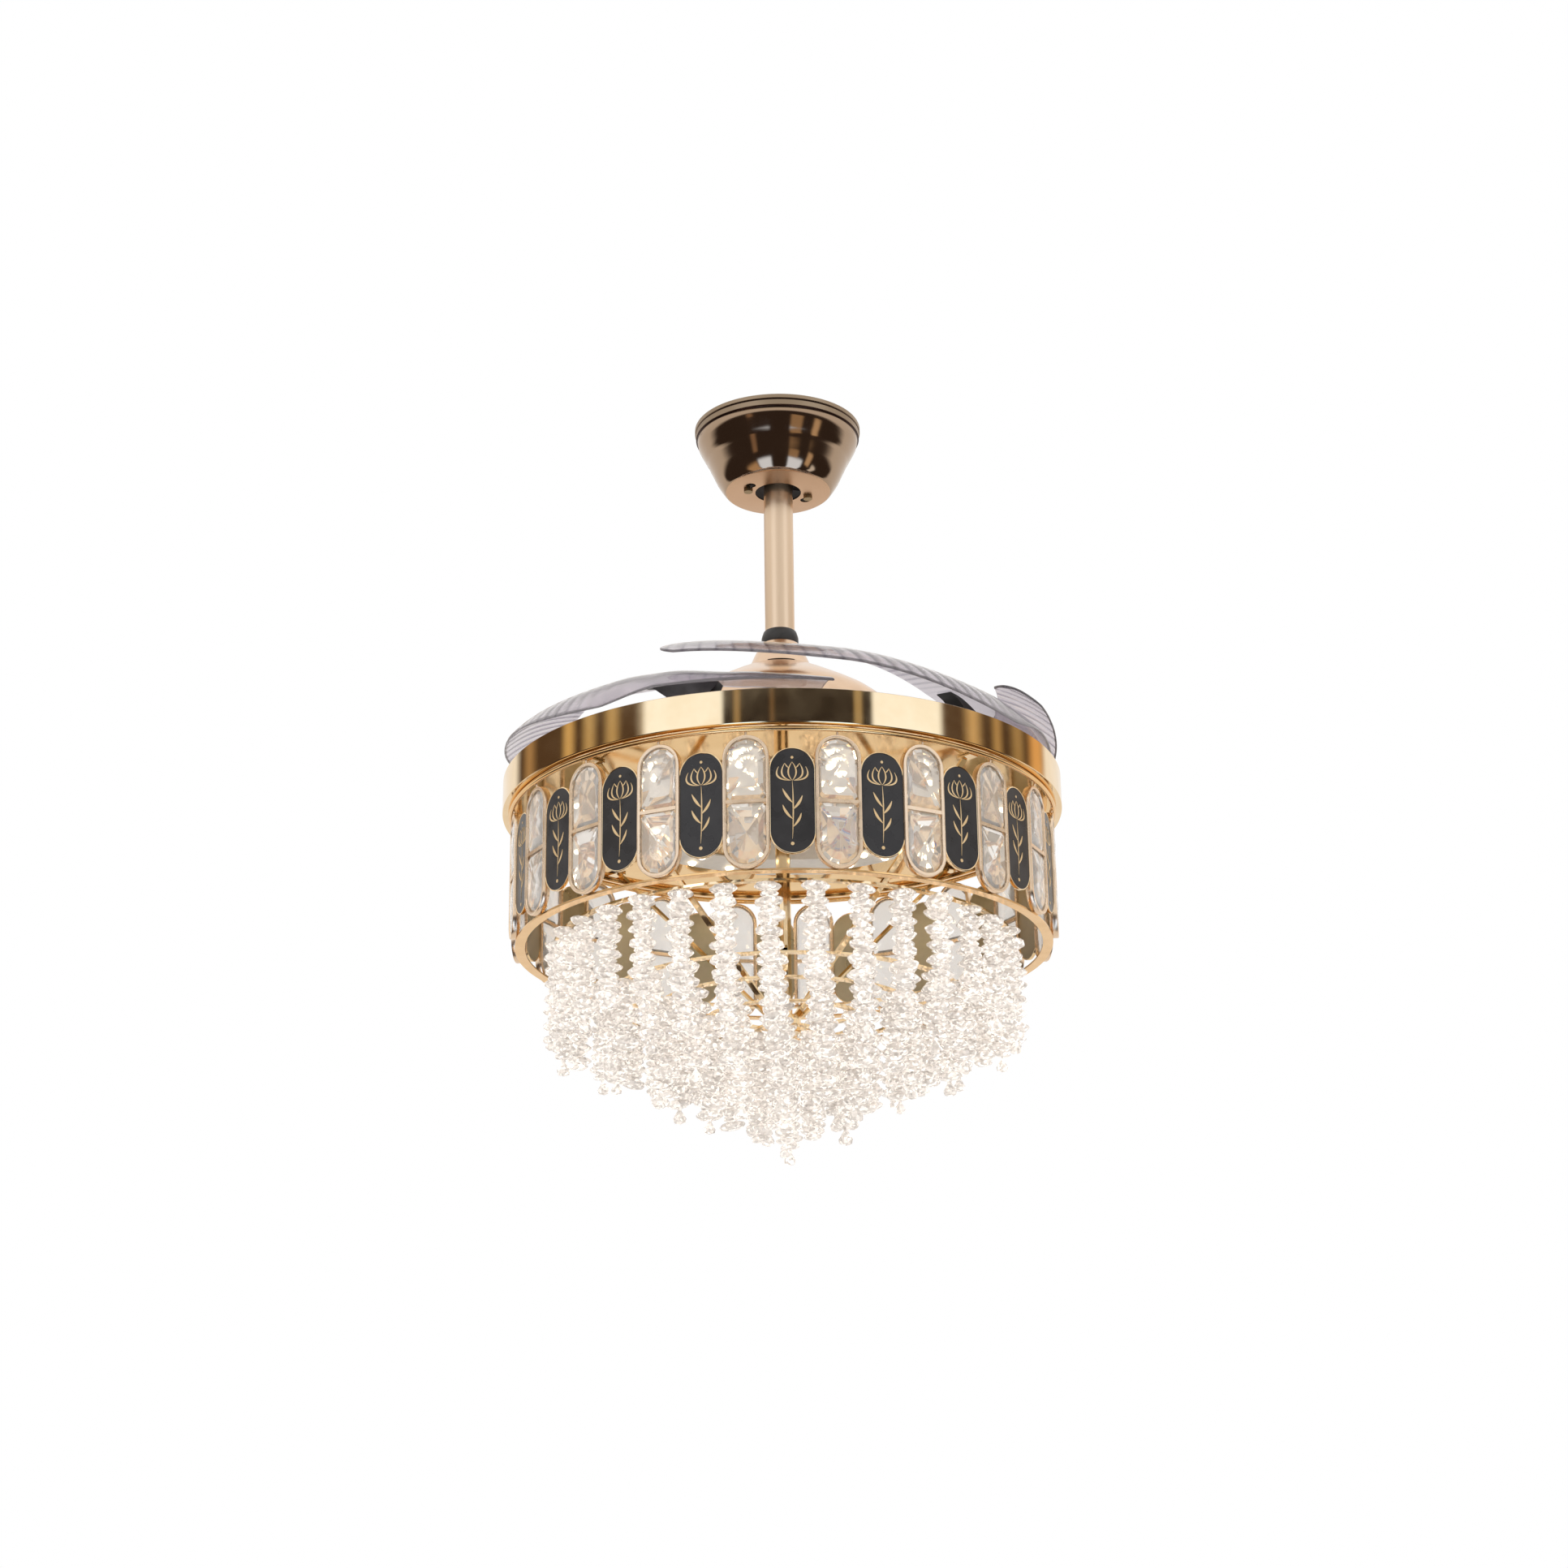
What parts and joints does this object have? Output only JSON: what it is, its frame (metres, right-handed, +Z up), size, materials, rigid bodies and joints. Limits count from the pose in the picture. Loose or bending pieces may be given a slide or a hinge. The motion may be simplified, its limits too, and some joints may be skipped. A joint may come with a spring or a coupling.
{
  "type": "retractable blade ceiling fan",
  "caption": "Ceiling fan whose clear blades fold over a round crystal light with black and crystal plates and hanging bead strands, on a downrod with a bowl canopy.",
  "frame": {"origin": "ceiling plane at the centre of the mounting bracket, on the fan's axis", "axes": "+Z up along the fan's axis; -Y is the front seen in the picture; +X is the viewer's right"},
  "size_m": [0.5, 0.5, 0.7014],
  "materials": {
    "steel": "zinc-plated or brushed steel",
    "bronze": "dark bronze mirror with a satin shoulder",
    "rose_gold": "satin rose gold plating",
    "gold": "polished pale gold plating",
    "gold_sheet": "spun aluminium with polished pale gold plating",
    "aluminium_sheet": "stamped aluminium sheet",
    "black_plastic": "black moulded plastic",
    "white_plastic": "white moulded plastic",
    "windings": "enamelled copper on a steel stack",
    "smoke_acrylic": "clear smoky plastic with fine flutes",
    "bead_acrylic": "clear faceted beads",
    "crystal": "clear cut crystal",
    "lamp_white": "lamp board with warm lamps"
  },
  "bodies": {
    "ceiling": {"mounting_bracket": "steel", "canopy": "bronze", "canopy_screw_1": "steel", "canopy_screw_2": "steel"},
    "hanging": {"hanger_ball": "black_plastic", "ball_pin": "steel", "downrod": "rose_gold", "rod_collar": "black_plastic", "coupling_pin": "steel", "motor_cover": "rose_gold", "motor_shaft": "steel", "stator": "windings", "upper_bearing": "steel", "lower_bearing": "steel", "light_tray": "gold_sheet", "tray_nut": "steel", "inner_plate": "gold_sheet", "lamp_board": "lamp_white", "driver_box": "white_plastic", "driver_lead": "white_plastic", "centre_rod": "gold", "tier_frame": "gold", "drum_frame": "gold", "strand_tier_1": "bead_acrylic", "strand_tier_2": "bead_acrylic", "strand_tier_3": "bead_acrylic", "strand_tier_4": "bead_acrylic", "strand_tier_5": "bead_acrylic", "crystal_01": "crystal", "crystal_02": "crystal", "crystal_03": "crystal", "crystal_04": "crystal", "crystal_05": "crystal", "crystal_06": "crystal", "crystal_07": "crystal", "crystal_08": "crystal", "crystal_09": "crystal", "crystal_10": "crystal", "crystal_11": "crystal", "crystal_12": "crystal", "crystal_13": "crystal", "crystal_14": "crystal", "crystal_15": "crystal", "crystal_16": "crystal", "crystal_17": "crystal", "crystal_18": "crystal", "crystal_19": "crystal", "crystal_20": "crystal"},
    "rotor": {"rotor_shell": "steel", "return_spring": "steel", "blade_plate": "aluminium_sheet"},
    "gear": {"sync_gear": "white_plastic"},
    "blade_1": {"blade_1": "smoke_acrylic", "blade_arm_1": "black_plastic"},
    "blade_2": {"blade_2": "smoke_acrylic", "blade_arm_2": "black_plastic"},
    "blade_3": {"blade_3": "smoke_acrylic", "blade_arm_3": "black_plastic"},
    "blade_4": {"blade_4": "smoke_acrylic", "blade_arm_4": "black_plastic"}
  },
  "joints": [
    {"name": "ball_tilt", "type": "hinge", "parent": "ceiling", "child": "hanging", "pos_m": [0, 0, -0.0358], "axis": [1, 0, 0], "range_deg": [-8, 8]},
    {"name": "rotor_spin", "type": "hinge", "parent": "hanging", "child": "rotor", "pos_m": [0, 0, -0.31], "axis": [0, 0, 1], "continuous": true},
    {"name": "blade_1_swing", "type": "hinge", "parent": "rotor", "child": "blade_1", "pos_m": [0.17975, 0.00942, -0.345], "axis": [0, 0, 1], "range_deg": [0, 145], "stiffness_Nm_per_rad": 0.04, "springref_deg": -28.65},
    {"name": "blade_2_swing", "type": "hinge", "parent": "rotor", "child": "blade_2", "pos_m": [-0.00942, 0.17975, -0.345], "axis": [0, 0, 1], "range_deg": [0, 145]},
    {"name": "blade_3_swing", "type": "hinge", "parent": "rotor", "child": "blade_3", "pos_m": [-0.17975, -0.00942, -0.345], "axis": [0, 0, 1], "range_deg": [0, 145]},
    {"name": "blade_4_swing", "type": "hinge", "parent": "rotor", "child": "blade_4", "pos_m": [0.00942, -0.17975, -0.345], "axis": [0, 0, 1], "range_deg": [0, 145]},
    {"name": "sync_gear_turn", "type": "hinge", "parent": "rotor", "child": "gear", "pos_m": [0, 0, -0.355], "axis": [0, 0, 1], "range_deg": [-29, 0]}
  ],
  "couplings": [
    {"joint": "blade_2_swing", "follows": "blade_1_swing", "ratio": 1},
    {"joint": "blade_3_swing", "follows": "blade_1_swing", "ratio": 1},
    {"joint": "blade_4_swing", "follows": "blade_1_swing", "ratio": 1},
    {"joint": "sync_gear_turn", "follows": "blade_1_swing", "ratio": -0.2}
  ]
}
